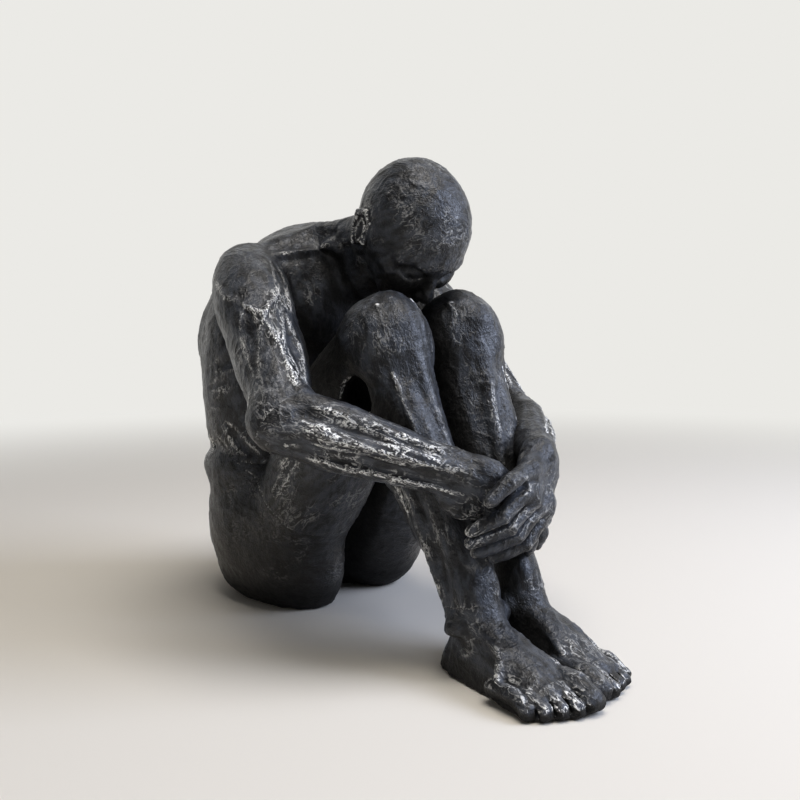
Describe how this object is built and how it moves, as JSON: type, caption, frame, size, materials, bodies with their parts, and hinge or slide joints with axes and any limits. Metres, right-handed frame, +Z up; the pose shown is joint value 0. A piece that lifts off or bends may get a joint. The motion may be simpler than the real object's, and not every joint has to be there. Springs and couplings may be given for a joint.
{
  "type": "seated figure sculpture",
  "caption": "Seated human figure that hugs its drawn-up knees with its head bowed, cast in dark resin sections pinned together; a shelf ornament or paperweight that rests on felt pads.",
  "frame": {"origin": "middle of the footprint of the whole figure, on the surface it rests on", "axes": "+Z up, the figure faces -Y, +X is the figure's left"},
  "size_m": [0.1508, 0.2418, 0.2018],
  "materials": {
    "cast_resin": "graphite cold-cast resin, satin, hand-worked surface with silver rubbed over its ridges",
    "dowel_steel": "plain bright rod",
    "felt": "pressed wool felt"
  },
  "bodies": {
    "root": {"pelvis_casting": "cast_resin", "torso_casting": "cast_resin", "head_casting": "cast_resin", "right_thigh_casting": "cast_resin", "right_shin_casting": "cast_resin", "right_foot_casting": "cast_resin", "right_upper_arm_casting": "cast_resin", "right_forearm_casting": "cast_resin", "right_hand_casting": "cast_resin", "left_thigh_casting": "cast_resin", "left_shin_casting": "cast_resin", "left_foot_casting": "cast_resin", "left_upper_arm_casting": "cast_resin", "left_forearm_casting": "cast_resin", "left_hand_casting": "cast_resin", "right_waist_dowel": "dowel_steel", "left_waist_dowel": "dowel_steel", "neck_dowel": "dowel_steel", "right_shoulder_dowel": "dowel_steel", "right_elbow_dowel": "dowel_steel", "right_wrist_dowel": "dowel_steel", "right_hip_dowel": "dowel_steel", "right_knee_dowel": "dowel_steel", "right_ankle_dowel": "dowel_steel", "left_shoulder_dowel": "dowel_steel", "left_elbow_dowel": "dowel_steel", "left_wrist_dowel": "dowel_steel", "left_hip_dowel": "dowel_steel", "left_knee_dowel": "dowel_steel", "left_ankle_dowel": "dowel_steel", "right_seat_pad": "felt", "left_seat_pad": "felt", "right_foot_pad": "felt", "left_foot_pad": "felt"}
  },
  "joints": []
}
